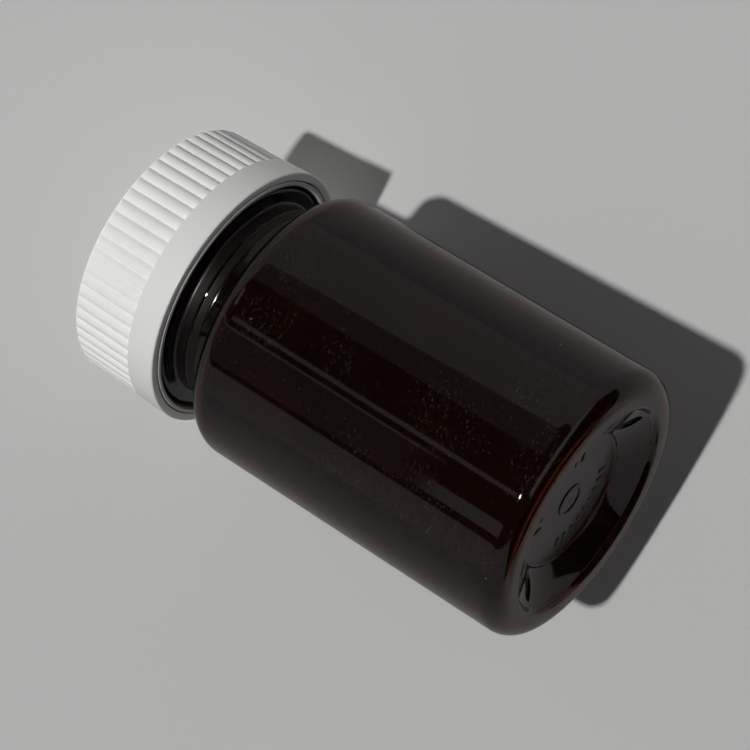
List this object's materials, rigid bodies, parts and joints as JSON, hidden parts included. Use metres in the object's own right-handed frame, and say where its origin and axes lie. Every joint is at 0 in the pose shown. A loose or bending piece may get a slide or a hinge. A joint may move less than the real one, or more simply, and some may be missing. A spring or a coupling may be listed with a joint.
{
  "type": "pharmacy bottle",
  "caption": "Dark brown round packer bottle for tablets with a white ribbed push-and-turn screw cap and a liner that seals its mouth.",
  "frame": {"origin": "centre of the standing ring at the bottom of the bottle", "axes": "+Z along the bottle's axis towards the cap, +X through one of the two orienting pockets in the base"},
  "size_m": [0.0434, 0.0434, 0.0802],
  "materials": {
    "amber_bottle": "glossy moulded, very dark amber brown",
    "white_shell": "satin moulded, white",
    "white_inner": "satin moulded, white",
    "liner_board": "smooth faced sealing board"
  },
  "bodies": {
    "bottle": {"bottle": "amber_bottle"},
    "liner": {"liner": "liner_board"},
    "inner_cap": {"inner_cap": "white_inner"},
    "outer_cap": {"outer_cap": "white_shell"}
  },
  "joints": [
    {"name": "cap_lift", "type": "slide", "parent": "bottle", "child": "liner", "axis": [0, 0, 1], "range_m": [0, 0.0255]},
    {"name": "cap_turn", "type": "hinge", "parent": "liner", "child": "inner_cap", "pos_m": [0, 0, 0.07], "axis": [0, 0, 1], "range_deg": [0, 2160]},
    {"name": "shell_press", "type": "slide", "parent": "inner_cap", "child": "outer_cap", "axis": [0, 0, 1], "range_m": [-0.0007, 0], "stiffness_N_per_m": 500, "springref_m": 0.0003}
  ],
  "couplings": [
    {"joint": "cap_lift", "follows": "cap_turn", "m_per_rad": 0.0006737}
  ]
}
